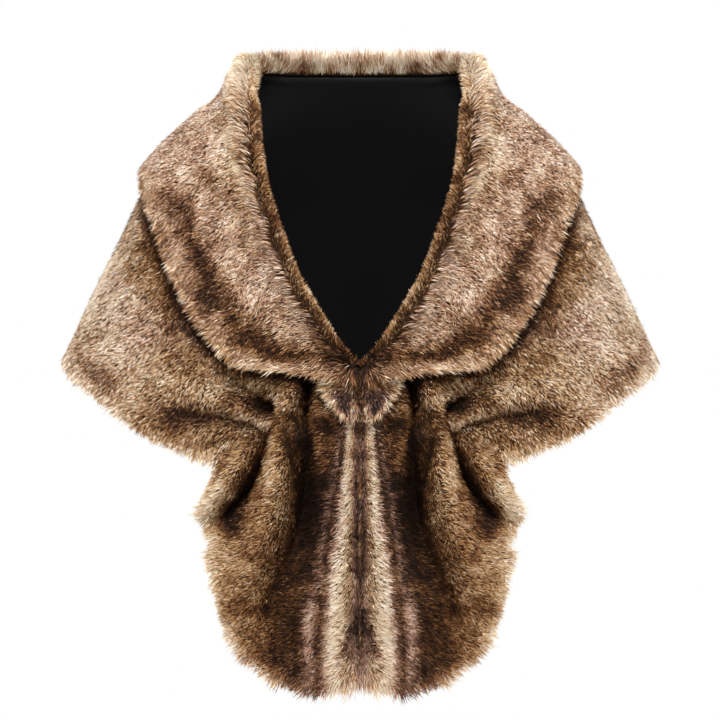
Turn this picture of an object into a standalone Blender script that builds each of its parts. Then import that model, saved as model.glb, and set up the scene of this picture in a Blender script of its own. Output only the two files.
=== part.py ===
"""A faux fur capelet, filled out as it is worn, with nobody in it.

A fur collar is turned over round a wide V neck. The cape body hangs from the neck seam in one back and
two fronts. Each front is drawn together near the middle and widens again below into a rounded tail, and
two small tabs cover the fastening. A thin lining hangs inside the body.

Every panel is a cloth wall that follows one worn form, a stack of ovals round the vertical axis. A place
on the form is an azimuth, 0 at the centre back and 180 at the centre front, and a height above the neck
seam. A lift is a distance out from the form. Tables are in millimetres and degrees, for the wearer's
left side, which is +X. +Z is up, the front faces -Y, and the origin is the middle of the neck opening
at the height of the neck seam.
"""

from collections import namedtuple

import bmesh
import bpy
import numpy as np

MM = 0.001

FUR_WALL = 4.0  # backing cloth with the dense foot of the pile
LINING_WALL = 1.0
LINING_CLEAR = 0.5  # from the body's inner face to the lining
SEAM_PULL = 0.4  # how far each cut edge stands back from the line of its seam
NECK_PULL = 1.0  # the same for the edges under the collar, which turns sharply at the shoulders
GATHER_PULL = 0.8  # the same for a tail's top edge, which follows deep gathers
COLLAR_CLEAR = 0.8  # from the body's outer face to the foot of the collar

# ---------------------------------------------------------------- the worn form

Ring = namedtuple("Ring", "height half_width back front")
RINGS = (
    Ring(-730, 430, 150, 150),
    Ring(-600, 430, 150, 160),
    Ring(-440, 395, 150, 166),
    Ring(-333, 346, 146, 162),
    Ring(-260, 313, 143, 152),
    Ring(-200, 283, 139, 140),
    Ring(-140, 254, 133, 124),
    Ring(-95, 224, 124, 106),
    Ring(-60, 189, 112, 86),
    Ring(-30, 154, 95, 64),
    Ring(0, 124, 74, 36),
    Ring(30, 102, 54, 14),
)
BULGE = 0.06  # how far the ovals swell between their axes
HALVINGS = 40  # of a quarter turn, in the search for an azimuth


def smooth(knots, values, at):
    """A smooth curve through values at the rising knots, read at the places in at."""
    knots = np.asarray(knots, float)
    values = np.asarray(values, float)
    slope = np.gradient(values, knots, axis=0)
    at = np.asarray(at, float)
    i = np.clip(np.searchsorted(knots, at) - 1, 0, len(knots) - 2)
    step = knots[i + 1] - knots[i]
    t = (at - knots[i]) / step
    if values.ndim > 1:
        t, step = t[..., None], step[..., None]
    from_this = (1 - t) ** 2 * (1 + 2 * t) * values[i]
    from_next = t * t * (3 - 2 * t) * values[i + 1]
    return from_this + from_next + step * t * (1 - t) * ((1 - t) * slope[i] - t * slope[i + 1])


def along(rows, at):
    """A smooth curve through the rows of a table, where row 0 is at 0, row 1 at 1 and so on."""
    return smooth(np.arange(len(rows)), rows, at)


def unit(vector):
    return vector / np.linalg.norm(vector, axis=-1, keepdims=True)


def bare_form(azimuth, height):
    """Points of the worn form itself."""
    rings = np.array(RINGS, float)
    half_width, back, front = np.moveaxis(smooth(rings[:, 0], rings[:, 1:], height), -1, 0)
    turn = np.radians(azimuth)
    swell = 1 + BULGE * np.sin(2 * turn) ** 2
    x = half_width * np.sin(turn) * swell
    y = np.where(np.cos(turn) > 0, back, front) * np.cos(turn) * swell
    return np.stack([x, y, height + 0 * turn], -1)


def form_normal(azimuth, height):
    """The form's outward direction."""
    small = 0.05
    around = bare_form(azimuth + small, height) - bare_form(azimuth - small, height)
    down = bare_form(azimuth, height - small) - bare_form(azimuth, height + small)
    return unit(np.cross(around, down))


def on_form(azimuth, height, lift=0.0):
    """Points at a lift from the form."""
    azimuth, height = np.broadcast_arrays(np.asarray(azimuth, float), np.asarray(height, float))
    return bare_form(azimuth, height) + form_normal(azimuth, height) * np.asarray(lift, float)[..., None]


def azimuth_of(across, height, front=True):
    """The azimuth at which the form is that far from the middle plane, on its front or its back."""
    across, height = np.broadcast_arrays(np.asarray(across, float), np.asarray(height, float))
    low = np.full(across.shape, 90.0 if front else 0.0)
    high = low + 90
    for _ in range(HALVINGS):
        middle = (low + high) / 2
        short = bare_form(middle, height)[..., 0] < across
        go_up = ~short if front else short
        low, high = np.where(go_up, middle, low), np.where(go_up, high, middle)
    return (low + high) / 2


# ---------------------------------------------------------------- folds

Fold = namedtuple("Fold", "name start middle end start_width end_width start_rise middle_rise end_rise")
# Places are (across, height) as seen from the front. A width is where a fold has fallen to a third.
FRONT_FOLDS = (
    Fold("main roll", (226, -364), (166, -384), (110, -405), 20, 13, 3, 10, 14),
    Fold("valley above the roll", (172, -356), (134, -371), (100, -392), 11, 8, -3, -9, -18),
    Fold("valley below the roll", (242, -398), (172, -399), (120, -415), 12, 8, -3, -12, -13),
    Fold("hem ridge", (198, -432), (160, -421), (124, -423), 13, 8, 2, 5, 7),
    Fold("puff over the gather", (77, -371), (79, -379), (82, -387), 13, 13, 15, 19, 15),
    Fold("hollow beside the puff", (55, -354), (57, -368), (62, -390), 8, 9, -11, -19, -16),
    Fold("pillar", (87, -402), (102, -520), (146, -654), 10, 26, 10, 20, 3),
    Fold("side valley", (105, -420), (122, -480), (162, -524), 8, 13, -12, -24, -12),
    Fold("outer lobe", (125, -430), (144, -468), (176, -509), 12, 14, 6, 13, 7),
    Fold("deep valley", (64, -400), (66, -512), (106, -640), 10, 22, -16, -28, -5),
    Fold("small lobe", (69, -402), (65, -427), (62, -456), 7, 7, 8, 12, 3),
    Fold("inner fold", (46, -398), (38, -446), (36, -514), 9, 10, 6, 8, 2),
    Fold("edge roll", (21, -406), (24, -554), (22, -710), 10, 12, 2, 12, 10),
    Fold("turned edge", (0, -376), (0, -544), (0, -696), 7, 8, -3, -8, -7),
)
BACK_FOLDS = (
    Fold("left drape", (-212, -262), (-226, -335), (-236, -402), 24, 20, 0, -5, -8),
    Fold("left swell", (-142, -238), (-152, -330), (-160, -424), 28, 24, 0, 5, 8),
    Fold("left trough", (-66, -280), (-76, -350), (-84, -440), 22, 20, 0, -4, -8),
    Fold("middle swell", (8, -236), (2, -340), (-6, -444), 30, 26, 0, 4, 7),
    Fold("right trough", (78, -262), (92, -350), (98, -440), 22, 22, 0, -5, -9),
    Fold("right swell", (160, -250), (170, -330), (182, -420), 26, 24, 0, 5, 8),
    Fold("right drape", (232, -280), (244, -340), (252, -392), 22, 20, 0, -4, -7),
)
# The lining hangs straight behind the gathers, clear of the deepest fold.
LINING_FOLDS = (
    Fold("behind the gather", (222, -396), (130, -396), (40, -376), 34, 34, -8, -21, -26),
)
FOLD_STEPS = 9


def relief(across, height, folds):
    """How far the folds lift the cloth at each place."""
    total = np.zeros(np.shape(across))
    for fold in folds:
        way = np.linspace(0, 2, FOLD_STEPS)
        line = along([fold.start, fold.middle, fold.end], way)
        width = np.linspace(fold.start_width, fold.end_width, FOLD_STEPS)
        rise = along([fold.start_rise, fold.middle_rise, fold.end_rise], way)
        nearest = np.full(np.shape(across), np.inf)
        value = np.zeros(np.shape(across))
        for k in range(FOLD_STEPS - 1):
            start, run = line[k], line[k + 1] - line[k]
            share = ((across - start[0]) * run[0] + (height - start[1]) * run[1]) / (run @ run)
            share = np.clip(share, 0, 1)
            gap = np.hypot(across - start[0] - share * run[0], height - start[1] - share * run[1])
            here = rise[k] + share * (rise[k + 1] - rise[k])
            wide = width[k] + share * (width[k + 1] - width[k])
            value = np.where(gap < nearest, here * np.exp(-((gap / wide) ** 2)), value)
            nearest = np.minimum(nearest, gap)
        total += value
    return total


def body_lift(azimuth, height, side, front_folds):
    """The lift of the folds. The fronts match, and side, 1 or -1, tells the two halves of the back apart."""
    across = bare_form(azimuth, height)[..., 0]
    in_front = relief(across, height, front_folds)
    behind = relief(side * across, height, BACK_FOLDS)
    return np.where(azimuth > 90, in_front, behind)


# ---------------------------------------------------------------- neck seam and collar

Station = namedtuple("Station", "name front seam_across seam_height upright roll edge_across edge_height lift")
# A row for each section of the collar, from the centre back to the fastening. Seam and edge are its two
# borders, upright is how nearly the roll stands straight up, roll is the roll's radius, and lift is the
# outer edge's.
COLLAR = (
    Station("centre back", False, 0, 0, 1.0, 13, 0, -180, 12),
    Station("back", False, 74, 0, 1.0, 13, 118, -174, 12),
    Station("back corner", False, 114, 0, 1.0, 13, 213, -150, 15),
    Station("shoulder", True, 123, -4, 1.0, 13, 245, -124, 18),
    Station("front corner", True, 120, -43, 0.75, 13, 247, -139, 17),
    Station("collar bone", True, 115, -84, 0.45, 12, 243, -166, 14),
    Station("upper chest", True, 108, -130, 0.2, 11, 229, -207, 12),
    Station("chest", True, 94, -178, 0.0, 10, 210, -248, 12),
    Station("lower chest", True, 73, -234, 0.0, 10, 184, -297, 13),
    Station("over the gather", True, 48, -280, 0.0, 9, 150, -336, 14),
    Station("above the puff", True, 25, -316, 0.0, 8, 106, -350, 15),
    Station("end", True, 8, -336, 0.0, 7, 52, -357, 15),
    Station("fastening", True, 1.5, -342, 0.0, 6, 1.5, -367, 13),
)
STAND = 7.0  # from the neck seam up to the foot of the roll
FALL_LIFT = 11.0  # where the fall leaves the roll
ROLL_ANGLES = (0, 45, 90, 135, 165)
FALL_SHARES = (0.28, 0.42, 0.58, 0.74, 0.88, 1.0)  # from seam to edge


def collar_places(at):
    """At station at: the azimuth and height of seam and edge, and the last columns of the table."""
    rows = [
        (
            azimuth_of(row.seam_across, row.seam_height, row.front),
            row.seam_height,
            azimuth_of(row.edge_across, row.edge_height, row.front),
            row.edge_height,
            row.upright,
            row.roll,
            row.lift,
        )
        for row in COLLAR
    ]
    return along(rows, at)


def seam_place(at):
    """Azimuth and height of the neck seam."""
    return collar_places(at)[..., :2]


def collar_profile(at, depth):
    """The collar at one station, depth inside its outer face, from the seam over the roll to the edge."""
    seam_azimuth, seam_height, edge_azimuth, edge_height, upright, roll, edge_lift = collar_places(at)
    seam = on_form(seam_azimuth, seam_height)
    edge = on_form(edge_azimuth, edge_height)
    tangent = np.array([1.0, 0, 0])
    if at > 0:
        step = 0.02
        tangent = unit(on_form(*seam_place(at + step)) - on_form(*seam_place(at - step)))
    up = upright * np.array([0, 0, 1.0]) + (1 - upright) * form_normal(seam_azimuth, seam_height)
    up = unit(up - up @ tangent * tangent)
    out = np.cross(tangent, up)
    out = out if out @ (edge - seam) > 0 else -out
    centre = seam + up * STAND + out * roll
    profile = [seam + up * COLLAR_CLEAR + out * depth]
    for angle in np.radians(ROLL_ANGLES):
        profile.append(centre + (roll - depth) * (np.sin(angle) * up - np.cos(angle) * out))
    for share in FALL_SHARES:
        azimuth = seam_azimuth + share * (edge_azimuth - seam_azimuth)
        height = seam_height + share * (edge_height - seam_height)
        profile.append(on_form(azimuth, height, FALL_LIFT + (edge_lift - FALL_LIFT) * share**2 - depth))
    return profile


def collar_half(stations, depth):
    return np.array([collar_profile(at, depth) for at in stations])


# ---------------------------------------------------------------- body

Meridian = namedtuple("Meridian", "name seam_station front hem_across hem_height")
# Lines that run down the body, from the centre back round to the fastening. A front's last lines end
# on the gathered edge, where the tail is sewn on.
BODY = (
    Meridian("centre back", 0.0, False, 0, -440),
    Meridian("back", 0.55, False, 76, -437),
    Meridian("shoulder blade", 1.1, False, 152, -422),
    Meridian("behind the arm", 1.75, False, 233, -398),
    Meridian("back of the arm", 2.4, False, 308, -364),
    Meridian("side", 3.0, True, 351, -339),
    Meridian("front of the arm", 3.9, True, 325, -368),
    Meridian("before the arm", 4.8, True, 290, -396),
    Meridian("outer front", 5.7, True, 250, -424),
    Meridian("hem bend", 6.6, True, 208, -443),
    Meridian("hem corner", 7.5, True, 168, -455),
    Meridian("lower roll", 8.2, True, 148, -439),
    Meridian("lip", 8.8, True, 124, -425),
    Meridian("roll end", 9.3, True, 107, -416),
    Meridian("notch", 9.7, True, 98, -408),
    Meridian("pillar top", 10.1, True, 89, -400),
    Meridian("under the puff", 10.5, True, 79, -395),
    Meridian("puff side", 10.9, True, 68, -386),
    Meridian("hollow", 11.3, True, 56, -377),
    Meridian("under the collar", 11.7, True, 36, -366),
    Meridian("fastening", 12.0, True, 1.5, -360),
)
SIDE_SEAM = 5  # the meridian between back and front
HEM_CORNER = 10  # the meridian where the gathered edge begins
FASTENING = 20


def body_places(at, share):
    """Azimuth and height on the body, at meridian at and a share of the way from seam to hem."""
    hems = [(azimuth_of(row.hem_across, row.hem_height, row.front), row.hem_height) for row in BODY]
    seam = seam_place(along([row.seam_station for row in BODY], at))
    hem = along(hems, at)
    share = np.asarray(share, float)[..., None]
    return np.moveaxis(seam * (1 - share) + hem * share, -1, 0)


def body_grid(meridians, shares, side, front_folds, depth):
    """Points of a body panel, depth inside its outer face, in one row for each meridian."""
    at, share = np.meshgrid(meridians, shares, indexing="ij")
    azimuth, height = body_places(at, share)
    return on_form(azimuth, height, body_lift(azimuth, height, side, front_folds) - depth)


# ---------------------------------------------------------------- tails

TAIL_HEM = (
    # The tail's free edge, as (across, height), from the centre front round to the hem corner.
    (1.5, -701),
    (22, -718),
    (50, -724),
    (85, -716),
    (111, -702),
    (130, -686),
    (146, -665),
    (159, -640),
    (167, -614),
    (172, -591),
    (177, -569),
    (170, -553),
    (180, -536),
    (186, -516),
    (181, -495),
    (168, -479),
    (165, -468),
)
Rib = namedtuple("Rib", "name middle_across middle_height hem_row")
# A rib for each meridian of the gathered edge, fanning out to a row of the free edge.
RIBS = (
    Rib("hem corner", 167, -461.5, 16),
    Rib("lower roll", 161, -462, 14.85),
    Rib("lip", 148, -470, 13.4),
    Rib("roll end", 129, -484, 11.8),
    Rib("notch", 116, -502, 9.7),
    Rib("pillar top", 104, -520, 7.6),
    Rib("under the puff", 88, -532, 5.8),
    Rib("puff side", 70, -540, 4.4),
    Rib("hollow", 54, -544, 3.1),
    Rib("under the collar", 36, -546, 2),
    Rib("fastening", 1.5, -534, 0),
)


def tail_grid(meridians, shares, depth):
    """Points of the tail, depth inside its outer face, one row for each rib down to the free edge."""
    at, share = np.meshgrid(meridians, shares, indexing="ij")
    azimuth, height = body_places(at, np.ones_like(at))
    top = np.stack([bare_form(azimuth, height)[..., 0], height], -1)
    middle = along([row[1:3] for row in RIBS], at - HEM_CORNER)
    end = along(TAIL_HEM, along([row.hem_row for row in RIBS], at - HEM_CORNER))
    t = share[..., None]
    place = top * (1 - t) * (1 - 2 * t) + middle * 4 * t * (1 - t) + end * t * (2 * t - 1)
    across, height = np.moveaxis(place, -1, 0)
    return on_form(azimuth_of(across, height), height, relief(across, height, FRONT_FOLDS) - depth)


# ---------------------------------------------------------------- tabs

TabRow = namedtuple("TabRow", "height outer lift")
TAB = (
    TabRow(-360, 38, 7.5),
    TabRow(-367, 41, 8),
    TabRow(-377, 37, 9),
    TabRow(-388, 30, 9.5),
    TabRow(-398, 24, 9),
    TabRow(-404, 15, 9),
)
TAB_INNER = 1.5  # from the middle plane to each tab's inner edge


def tab_grid(rows, shares, depth):
    """Points of a fastening tab, a short tongue that narrows downwards, depth inside its outer face."""
    at, share = np.meshgrid(rows, shares, indexing="ij")
    height, outer, lift = np.moveaxis(along(TAB, at), -1, 0)
    across = outer - share * (outer - TAB_INNER)
    return on_form(azimuth_of(across, height), height, lift - depth).swapaxes(0, 1)


# ---------------------------------------------------------------- making the panels


def pulled(grid, distance, *sides):
    """The grid with its first row, last row, top or bottom set back that far from the line of a seam."""
    grid = grid.copy()
    for side in sides:
        edge, next_to_it = {
            "first": (grid[0], grid[1]),
            "last": (grid[-1], grid[-2]),
            "top": (grid[:, 0], grid[:, 1]),
            "bottom": (grid[:, -1], grid[:, -2]),
        }[side]
        edge += unit(next_to_it - edge) * distance
    return grid


def mirrored(grid):
    """The same panel on the other side, its rows still going round the same way."""
    return (grid * (-1, 1, 1))[::-1]


def material(name, colour, roughness):
    made = bpy.data.materials.new(name)
    made.use_nodes = True
    shader = made.node_tree.nodes["Principled BSDF"]
    shader.inputs["Base Color"].default_value = (*colour, 1)
    shader.inputs["Roughness"].default_value = roughness
    return made


def panel(name, outer, inner, finish, collection):
    """A cloth wall between two grids of points, whose rows go round by azimuth and run down the panel.

    The wall is lofted, because a Solidify modifier would tilt each panel's cut edges its own way, and
    neighbours would overlap along the seams.
    """
    rows, columns = outer.shape[:2]
    shape = bmesh.new()
    outside = [[shape.verts.new(point * MM) for point in row] for row in outer]
    inside = [[shape.verts.new(point * MM) for point in row] for row in inner]
    for i in range(rows - 1):
        for j in range(columns - 1):
            corners = (i, j), (i + 1, j), (i + 1, j + 1), (i, j + 1)
            shape.faces.new([outside[p][q] for p, q in corners])
            shape.faces.new([inside[p][q] for p, q in corners[:1] + corners[:0:-1]])
    rim = [(i, 0) for i in range(rows)]
    rim += [(rows - 1, j) for j in range(1, columns)]
    rim += [(i, columns - 1) for i in reversed(range(rows - 1))]
    rim += [(0, j) for j in reversed(range(1, columns - 1))]
    for (i, j), (p, q) in zip(rim, rim[1:] + rim[:1]):
        shape.faces.new((outside[p][q], outside[i][j], inside[i][j], inside[p][q]))
    mesh = bpy.data.meshes.new(name)
    shape.to_mesh(mesh)
    shape.free()
    mesh.shade_smooth()
    mesh.set_sharp_from_angle(angle=SHARP_FROM)
    mesh.materials.append(finish)
    obj = bpy.data.objects.new(name, mesh)
    collection.objects.link(obj)


# How many rows of faces each stretch of cloth has.
BACK_STEPS = 10  # round half the back
FRONT_STEPS = 7  # from the side seam to the gather
GATHER_STEPS = 18  # round the gather
GATHER_CROWDING = 1.35  # they stand closer towards the fastening
COLLAR_STEPS = 26  # round half the collar
BODY_STEPS = 8  # down the body
TAIL_STEPS = 11  # down a tail
TAB_ROWS = 6  # down a tab
TAB_STEPS = 4  # across a tab
SHARP_FROM = np.radians(50)  # the cut edges are sharp and the folds are smooth


def gather_meridians():
    way = np.linspace(0, 1, GATHER_STEPS + 1)
    return HEM_CORNER + (FASTENING - HEM_CORNER) * (1 - (1 - way) ** GATHER_CROWDING)


def make_collar(finish, collection):
    stations = np.linspace(0, len(COLLAR) - 1, COLLAR_STEPS + 1)
    halves = [collar_half(stations, depth) for depth in (0, FUR_WALL)]
    panel("collar", *(np.concatenate([mirrored(half)[:-1], half]) for half in halves), finish, collection)


def make_body(prefix, front_folds, depths, finish, collection):
    """One back and two fronts, of the fur cloth or of the lining."""
    shares = np.linspace(0, 1, BODY_STEPS + 1)
    back_meridians = np.linspace(0, SIDE_SEAM, BACK_STEPS + 1)
    front_meridians = np.linspace(SIDE_SEAM, HEM_CORNER, FRONT_STEPS + 1)
    front_meridians = np.concatenate([front_meridians[:-1], gather_meridians()])
    backs, fronts = [], []
    for depth in depths:
        left = body_grid(back_meridians, shares, 1, front_folds, depth)
        right = body_grid(back_meridians, shares, -1, front_folds, depth)
        back = np.concatenate([mirrored(right)[:-1], left])
        backs.append(pulled(pulled(back, SEAM_PULL, "first", "last"), NECK_PULL, "top"))
        front = body_grid(front_meridians, shares, 1, front_folds, depth)
        fronts.append(pulled(pulled(front, SEAM_PULL, "first", "bottom"), NECK_PULL, "top"))
    panel(prefix + "back", *backs, finish, collection)
    panel(prefix + "front_left", *fronts, finish, collection)
    panel(prefix + "front_right", *map(mirrored, fronts), finish, collection)


def make_pair(name, grids, finish, collection):
    """A small panel on the left and its mirror image on the right."""
    panel(name + "_left", *grids, finish, collection)
    panel(name + "_right", *map(mirrored, grids), finish, collection)


def main():
    for obj in list(bpy.data.objects):
        bpy.data.objects.remove(obj)
    capelet = bpy.data.collections.new("Faux fur capelet")
    bpy.context.scene.collection.children.link(capelet)
    fur = material("Fur cloth", (0.30, 0.20, 0.13), 0.9)
    satin = material("Lining satin", (0.008, 0.008, 0.009), 0.45)

    walls = (0, FUR_WALL)
    make_collar(fur, capelet)
    make_body("", FRONT_FOLDS, walls, fur, capelet)
    lining = FUR_WALL + LINING_CLEAR
    make_body("lining_", LINING_FOLDS, (lining, lining + LINING_WALL), satin, capelet)
    shares = np.linspace(0, 1, TAIL_STEPS + 1)
    tails = [tail_grid(gather_meridians(), shares, depth) for depth in walls]
    make_pair("tail", [pulled(grid, GATHER_PULL, "top") for grid in tails], fur, capelet)
    rows = np.linspace(0, len(TAB) - 1, TAB_ROWS + 1)
    shares = np.linspace(0, 1, TAB_STEPS + 1)
    make_pair("tab", [tab_grid(rows, shares, depth) for depth in walls], fur, capelet)


main()
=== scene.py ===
"""The looks of a faux fur capelet, filled out as it is worn, with nobody in it.

Long-pile fur panels with satin on their inner sides, laid on the same worn form as the solids. Places on
the form are an azimuth, 0 at the centre back and 180 at the centre front, and a height above the neck
seam. Tables are in millimetres and degrees for the wearer's left side, +X, and the right side mirrors it.
"""

from collections import namedtuple

import bpy
import numpy as np
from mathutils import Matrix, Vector


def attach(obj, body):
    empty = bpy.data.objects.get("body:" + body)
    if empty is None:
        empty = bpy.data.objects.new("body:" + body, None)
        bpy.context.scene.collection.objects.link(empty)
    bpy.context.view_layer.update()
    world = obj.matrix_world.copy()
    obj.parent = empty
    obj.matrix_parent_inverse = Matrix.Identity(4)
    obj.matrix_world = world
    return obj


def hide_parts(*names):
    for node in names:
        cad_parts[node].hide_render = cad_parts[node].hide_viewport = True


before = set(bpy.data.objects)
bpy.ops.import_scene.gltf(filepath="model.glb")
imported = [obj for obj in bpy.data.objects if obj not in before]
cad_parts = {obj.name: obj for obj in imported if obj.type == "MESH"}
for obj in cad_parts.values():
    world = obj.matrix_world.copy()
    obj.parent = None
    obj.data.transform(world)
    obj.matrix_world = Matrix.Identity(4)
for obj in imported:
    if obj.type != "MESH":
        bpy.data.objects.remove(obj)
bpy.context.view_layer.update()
bpy.ops.object.select_all(action="DESELECT")
MM = 0.001

# ---------------------------------------------------------------- collar
# One deep strip of fur cloth sewn into the whole neckline. It stands up a little, rolls over along a
# parting in the pile, and falls to a free edge over the shoulders. Its ends meet at the centre front.

Ring = namedtuple("Ring", "height half_width back front")
RINGS = (
    Ring(-730, 430, 150, 150),
    Ring(-600, 430, 150, 160),
    Ring(-440, 395, 150, 166),
    Ring(-333, 346, 146, 162),
    Ring(-260, 313, 143, 152),
    Ring(-200, 283, 139, 140),
    Ring(-140, 254, 133, 124),
    Ring(-95, 224, 124, 106),
    Ring(-60, 189, 112, 86),
    Ring(-30, 154, 95, 64),
    Ring(0, 124, 74, 36),
    Ring(30, 102, 54, 14),
)
BULGE = 0.06  # how far the ovals swell between their axes
HALVINGS = 30  # of a quarter turn, in the search for an azimuth


def smooth(knots, values, at):
    """A smooth curve through values at the rising knots, read at the places in at."""
    knots = np.asarray(knots, float)
    values = np.asarray(values, float)
    slope = np.gradient(values, knots, axis=0)
    at = np.asarray(at, float)
    i = np.clip(np.searchsorted(knots, at) - 1, 0, len(knots) - 2)
    step = knots[i + 1] - knots[i]
    t = (at - knots[i]) / step
    wide = at.shape + (1,) * (values.ndim - 1)
    t, step = t.reshape(wide), step.reshape(wide)
    from_this = (1 - t) ** 2 * (1 + 2 * t) * values[i]
    from_next = t * t * (3 - 2 * t) * values[i + 1]
    return from_this + from_next + step * t * (1 - t) * ((1 - t) * slope[i] - t * slope[i + 1])


def along(rows, at):
    """A smooth curve through the rows of a table, where row 0 is at 0, row 1 at 1 and so on."""
    return smooth(np.arange(len(rows)), rows, at)


def unit(vector):
    return vector / np.linalg.norm(vector, axis=-1, keepdims=True)


def bare_form(azimuth, height):
    """Points of the worn form itself."""
    rings = np.array(RINGS, float)
    half_width, back, front = np.moveaxis(smooth(rings[:, 0], rings[:, 1:], height), -1, 0)
    turn = np.radians(azimuth)
    swell = 1 + BULGE * np.sin(2 * turn) ** 2
    x = half_width * np.sin(turn) * swell
    y = np.where(np.cos(turn) > 0, back, front) * np.cos(turn) * swell
    return np.stack([x, y, height + 0 * turn], -1)


def form_normal(azimuth, height):
    small = 0.05
    around = bare_form(azimuth + small, height) - bare_form(azimuth - small, height)
    down = bare_form(azimuth, height - small) - bare_form(azimuth, height + small)
    return unit(np.cross(around, down))


def on_form(azimuth, height, lift=0.0):
    """Points at a lift from the form."""
    azimuth, height = np.broadcast_arrays(np.asarray(azimuth, float), np.asarray(height, float))
    return bare_form(azimuth, height) + form_normal(azimuth, height) * np.asarray(lift, float)[..., None]


def azimuth_of(across, height, front=True):
    """The azimuth at which the form is that far from the middle plane, on its front or its back."""
    across, height = np.broadcast_arrays(np.asarray(across, float), np.asarray(height, float))
    low = np.full(across.shape, 90.0 if front else 0.0)
    high = low + 90
    for _ in range(HALVINGS):
        middle = (low + high) / 2
        short = bare_form(middle, height)[..., 0] < across
        go_up = ~short if front else short
        low, high = np.where(go_up, middle, low), np.where(go_up, high, middle)
    return (low + high) / 2


Station = namedtuple(
    "Station", "name front seam_across seam_height upright roll edge_across edge_height lift"
)
# A row for each section of the collar, from the centre back to the fastening. Seam and edge are its two
# borders, upright is how nearly the roll stands straight up, roll is the roll's radius, and lift is the
# outer edge's.
COLLAR = (
    Station("centre back", False, 0, 0, 1.0, 13, 0, -180, 12),
    Station("back", False, 74, 0, 1.0, 13, 118, -174, 12),
    Station("back corner", False, 114, 0, 1.0, 13, 213, -150, 15),
    Station("shoulder", True, 123, -4, 1.0, 13, 245, -124, 18),
    Station("front corner", True, 120, -43, 0.75, 13, 247, -139, 17),
    Station("collar bone", True, 115, -84, 0.45, 12, 243, -166, 14),
    Station("upper chest", True, 108, -130, 0.2, 11, 229, -207, 12),
    Station("chest", True, 94, -178, 0.0, 10, 210, -248, 12),
    Station("lower chest", True, 73, -234, 0.0, 10, 184, -297, 13),
    Station("over the gather", True, 48, -280, 0.0, 9, 150, -336, 14),
    Station("above the puff", True, 25, -316, 0.0, 8, 106, -350, 15),
    Station("end", True, 8, -336, 0.0, 7, 52, -357, 15),
    Station("fastening", True, 1.5, -342, 0.0, 6, 1.5, -367, 13),
)
STAND = 7.0  # from the neck seam up to the foot of the roll
FALL_LIFT = 11.0  # where the fall leaves the roll
ROLL_ANGLES = (0, 45, 90, 135, 165)
FALL_SHARES = (0.28, 0.42, 0.58, 0.74, 0.88, 1.0)  # from seam to edge
COLLAR_PLACES = [
    (
        azimuth_of(row.seam_across, row.seam_height, row.front),
        row.seam_height,
        azimuth_of(row.edge_across, row.edge_height, row.front),
        row.edge_height,
        row.upright,
        row.roll,
        row.lift,
    )
    for row in COLLAR
]
LAST_STATION = len(COLLAR) - 1


def seam_place(at):
    """Azimuth and height of the neck seam."""
    return along(COLLAR_PLACES, at)[..., :2]


def collar_grid(stations, ways, depth):
    """Points of half the collar, depth inside its outer face.

    Ways run from 0 at the seam to 1 at the edge.
    """
    places = np.moveaxis(along(COLLAR_PLACES, stations), -1, 0)
    seam_azimuth, seam_height, edge_azimuth, edge_height = places[:4]
    upright, roll, edge_lift = places[4:, :, None]
    seam, edge = on_form(seam_azimuth, seam_height), on_form(edge_azimuth, edge_height)
    step = 0.02
    tangent = on_form(*seam_place(stations + step).T) - on_form(*seam_place(stations - step).T)
    tangent[stations == 0] = 1, 0, 0
    tangent = unit(tangent)
    up = upright * (0, 0, 1.0) + (1 - upright) * form_normal(seam_azimuth, seam_height)
    up = unit(up - (up * tangent).sum(-1, keepdims=True) * tangent)
    out = np.cross(tangent, up)
    out *= np.sign((out * (edge - seam)).sum(-1, keepdims=True))
    centre = seam + up * STAND + out * roll
    profile = [seam + out * depth]
    for angle in np.radians(ROLL_ANGLES):
        profile.append(centre + (roll - depth) * (np.sin(angle) * up - np.cos(angle) * out))
    for share in FALL_SHARES:
        azimuth = seam_azimuth + share * (edge_azimuth - seam_azimuth)
        height = seam_height + share * (edge_height - seam_height)
        lift = FALL_LIFT + (edge_lift[:, 0] - FALL_LIFT) * share**2 - depth
        profile.append(on_form(azimuth, height, lift))
    profile = np.array(profile)
    steps = np.linalg.norm(np.diff(profile, axis=0), axis=-1).mean(axis=-1)
    knots = np.append(0, steps.cumsum()) / steps.sum()
    return smooth(knots, profile, ways).swapaxes(0, 1)


def trimmed(grid, distance, side):
    """The grid with its first row or its bottom cut back by that distance along the cloth."""
    at_bottom = side == "bottom"
    cut = []
    for line in grid if at_bottom else grid.swapaxes(0, 1):
        run = np.append(0, np.linalg.norm(np.diff(line, axis=0), axis=-1).cumsum())
        low, high = (0, run[-1] - distance) if at_bottom else (distance, run[-1])
        at = low + run / run[-1] * (high - low)
        cut.append(np.stack([np.interp(at, run, line[:, k]) for k in range(3)], -1))
    return np.array(cut) if at_bottom else np.array(cut).swapaxes(0, 1)


def mirrored(grid):
    """The same panel on the other side, its rows still going round the same way."""
    return (grid * (-1, 1, 1))[::-1]


def bump(distance, width, second=0.0, second_width=1.0):
    """1 where the distance is 0, a third at the width and 0 far off. A second distance narrows it."""
    return np.exp(-((distance / width) ** 2) - (second / second_width) ** 2)


def rising(value, start, run):
    """0 up to start, and 1 from one run beyond it."""
    return np.clip((value - start) / run, 0, 1)


def falling(value, end, run):
    """1 up to one run before end, and 0 from end on."""
    return np.clip((end - value) / run, 0, 1)


def linear(code):
    """A hex colour as linear light."""
    value = np.array([int(code[i : i + 2], 16) for i in (1, 3, 5)]) / 255
    return (*np.where(value < 0.04045, value / 12.92, ((value + 0.055) / 1.055) ** 2.4), 1)


def new_material(name, colour, roughness):
    made = bpy.data.materials.new(name)
    made.use_nodes = True
    shader = made.node_tree.nodes["Principled BSDF"]
    shader.inputs["Base Color"].default_value = linear(colour)
    shader.inputs["Roughness"].default_value = roughness
    return made, shader


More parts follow.
